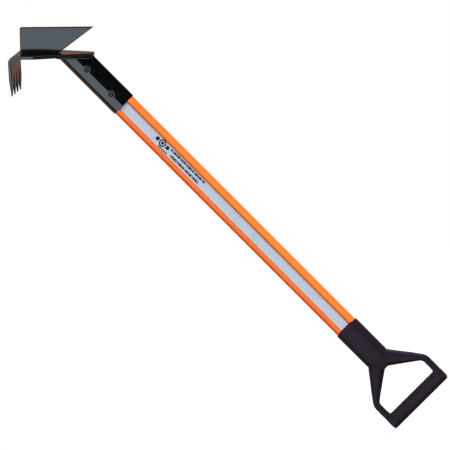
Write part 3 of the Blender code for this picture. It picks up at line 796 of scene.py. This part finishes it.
def make_welds(material):
    """The runs along both sides of the fin's foot, and round the socket under the plate."""
    to_head = HEAD.inverted()
    for node in ("fin_weld_front", "fin_weld_back"):
        corners = [to_head @ vertex.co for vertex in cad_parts[node].data.vertices]
        low = Vector([min(corner[axis] for corner in corners) for axis in range(3)])
        high = Vector([max(corner[axis] for corner in corners) for axis in range(3)])
        middle = (low + high) / 2
        path = [HEAD @ Vector((x, middle.y, middle.z)) for x in (low.x, middle.x, high.x)]
        ripple_bead(f"{node}_run", node, path, (high.z - low.z) / 2, material)

    low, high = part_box("head_socket")
    outset = SOCKET_WELD_RADIUS + WELD_GAP
    outline = rounded_rectangle(high.x + outset, high.y + outset, SOCKET_CORNER + outset)
    slope = math.tan(HEAD_TILT)
    path = []
    for x, y in outline[CORNER_STEPS // 2:-CORNER_STEPS // 2]:
        path.append(Vector((x, y, HEAD_HEIGHT - x * slope - outset / math.cos(HEAD_TILT))))
    ripple_bead("socket_weld_run", "socket_weld", path, SOCKET_WELD_RADIUS, material)


def bake(piece):
    """Makes a piece's modifiers part of its mesh."""
    view = bpy.context.evaluated_depsgraph_get()
    finished = bpy.data.meshes.new_from_object(piece.evaluated_get(view))
    piece.modifiers.clear()
    piece.data = finished


def handle_without_bore():
    """The CAD's handle as one block, with the walls of its bore taken out and the mouth closed."""
    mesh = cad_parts["d_handle"].data.copy()
    bm = bmesh.new()
    bm.from_mesh(mesh)
    bmesh.ops.remove_doubles(bm, verts=bm.verts, dist=MERGE_DISTANCE)
    half_x, half_y, _ = BORE
    walls = []
    for face in bm.faces:
        if all(abs(vertex.co.x) < half_x + BORE_MARGIN and abs(vertex.co.y) < half_y + BORE_MARGIN
               and vertex.co.z > BORE_FLOOR - BORE_MARGIN for vertex in face.verts):
            walls.append(face)
    bmesh.ops.delete(bm, geom=walls, context="FACES")
    bmesh.ops.holes_fill(bm, edges=[edge for edge in bm.edges if edge.is_boundary])
    bmesh.ops.triangulate(bm, faces=bm.faces)
    bm.to_mesh(mesh)
    bm.free()
    return mesh


def bore_cutter():
    bm = bmesh.new()
    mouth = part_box("d_handle")[1].z + CUTTER_OVERRUN
    rings = []
    for z in (BORE_FLOOR, mouth):
        rings.append([bm.verts.new((x, y, z)) for x, y in rounded_rectangle(*BORE)])
    skin(bm, rings)
    cap(bm, *rings)
    return mesh_object("bore_cutter", bm)


def make_handle(material):
    """The moulding: the CAD's shape softened all over, kept inside the CAD's box, then bored again."""
    handle = link(bpy.data.objects.new("handle_moulding", handle_without_bore()))
    remesh = handle.modifiers.new("mould", "REMESH")
    remesh.mode = "VOXEL"
    remesh.voxel_size = MOULD_VOXEL
    remesh.use_smooth_shade = True
    smooth = handle.modifiers.new("polish", "SMOOTH")
    smooth.factor = MOULD_SMOOTHING_FACTOR
    smooth.iterations = MOULD_SMOOTHING
    swell = handle.modifiers.new("swell", "DISPLACE")
    swell.strength = MOULD_SWELL
    swell.mid_level = 0.0
    bake(handle)
    low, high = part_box("d_handle")
    for vertex in handle.data.vertices:
        vertex.co = [min(max(place, least), most) for place, least, most in zip(vertex.co, low, high)]

    cutter = bore_cutter()
    cut = handle.modifiers.new("bore", "BOOLEAN")
    cut.object = cutter
    cut.operation = "DIFFERENCE"
    bake(handle)
    bpy.data.objects.remove(cutter)
    handle.data.set_sharp_from_angle(angle=math.radians(60))
    settle(handle, "d_handle", material)


def circle(radius, centre):
    turns = [math.tau * step / ROUND_STEPS for step in range(ROUND_STEPS)]
    return [(centre[0] + radius * math.cos(turn), centre[1] + radius * math.sin(turn)) for turn in turns]


def bar(width, length, corner, centre):
    outline = rounded_rectangle(width / 2, length / 2, corner, corner_steps=PRINT_CORNER_STEPS)
    return [(centre[0] + x, centre[1] + z) for x, z in outline]


def slab(bm, loops, near, far):
    """A flat print: outlines in X and Z, as thick as near to far along Y. A second loop is a hole."""
    sides = []
    for y in (near, far):
        sides.append([[bm.verts.new((x, y, z)) for x, z in loop] for loop in loops])
    for front, back in zip(*sides):
        skin(bm, [front, back])
    for side in sides:
        if len(side) == 2:
            skin(bm, side)
        else:
            cap(bm, *side)


def make_print(material):
    """The tape's print: plain marks only."""
    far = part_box("reflective_tape_front")[0].y
    near = far - PRINT_THICKNESS
    bm = bmesh.new()
    for along, *radii in EMBLEM_RINGS:
        centre = (EMBLEM_PLACE[0], EMBLEM_PLACE[1] + along)
        slab(bm, [circle(radius, centre) for radius in radii if radius], near, far)
    slab(bm, [bar(BAR_WIDTH, BAR_LENGTH, BAR_CORNER, BAR_PLACE)], near, far)
    for row, (x, start, end) in enumerate(ROW_PLACES):
        z = start
        index = ROW_SHIFT * row
        while z > end:
            length = DASH_LENGTHS[index % len(DASH_LENGTHS)] * MM
            slab(bm, [bar(DASH_HEIGHT, length, DASH_CORNER, (x, z - length / 2))], near, far)
            z -= length + DASH_GAP * (1 if index % DASH_GROUP else 2)
            index += 1
    settle(mesh_object("tape_print", bm), None, material)


def make_floor():
    bm = bmesh.new()
    bmesh.ops.create_grid(bm, x_segments=FLOOR_CELLS, y_segments=FLOOR_CELLS, size=FLOOR_SIZE)
    mesh = bpy.data.meshes.new("floor")
    bm.to_mesh(mesh)
    bm.free()
    floor = link(bpy.data.objects.new("floor", mesh))
    floor.location.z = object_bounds()[0][2] - FLOOR_DROP
    tree, shader, coords, material = new_material("floor", specular=0.0)
    paper = noise(tree, coords, 6.0, 2.0)
    dark, light = FLOOR_TONES
    tree.links.new(ramp(tree, paper, (0.0, (dark,) * 3), (1.0, (light,) * 3)), shader.inputs["Base Color"])
    shader.inputs["Roughness"].default_value = FLOOR_ROUGHNESS
    paint(floor, material)
    floor.visible_glossy = False
    floor.visible_diffuse = False


coat = powder_coat("powder_coat", peel=0.2)
weld_coat = powder_coat("weld_coat", peel=1.0)
gelcoat = pole_gelcoat()
tape = prismatic_tape()
handle_plastic = moulded_handle()
oxide = black_oxide()
foam = speckled("foam", (0.50, 0.42, 0.22), (0.62, 0.54, 0.30), roughness=0.8, scale=900.0, relief=0.2)
epoxy = speckled("epoxy", (0.020, 0.018, 0.016), (0.045, 0.040, 0.036), roughness=0.35, scale=500.0,
                 relief=0.05)
ink = speckled("ink", (0.003, 0.003, 0.004), (0.008, 0.007, 0.009), roughness=0.5, scale=1200.0,
               relief=0.01, specular=0.12)
nylon = speckled("nylon", (0.55, 0.56, 0.58), (0.68, 0.69, 0.70), roughness=0.4, scale=700.0, relief=0.02)

# Each CAD node carries its record slot's material, which names its finish
FINISHES = {"head_steel": coat, "weld": weld_coat, "fastener": oxide, "nylon": nylon, "pole": gelcoat,
            "foam": foam, "tape": tape, "epoxy": epoxy, "handle": handle_plastic}
for node_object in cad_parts.values():
    slot_name = node_object.data.materials[0].name.split(".")[0]
    paint(node_object, FINISHES[slot_name])

make_plate_and_fin(coat)
make_socket(coat)
make_welds(weld_coat)
make_handle(handle_plastic)
make_print(ink)
make_pole(gelcoat)
make_fasteners(oxide)

make_world()
make_camera()
make_lamps()
make_floor()
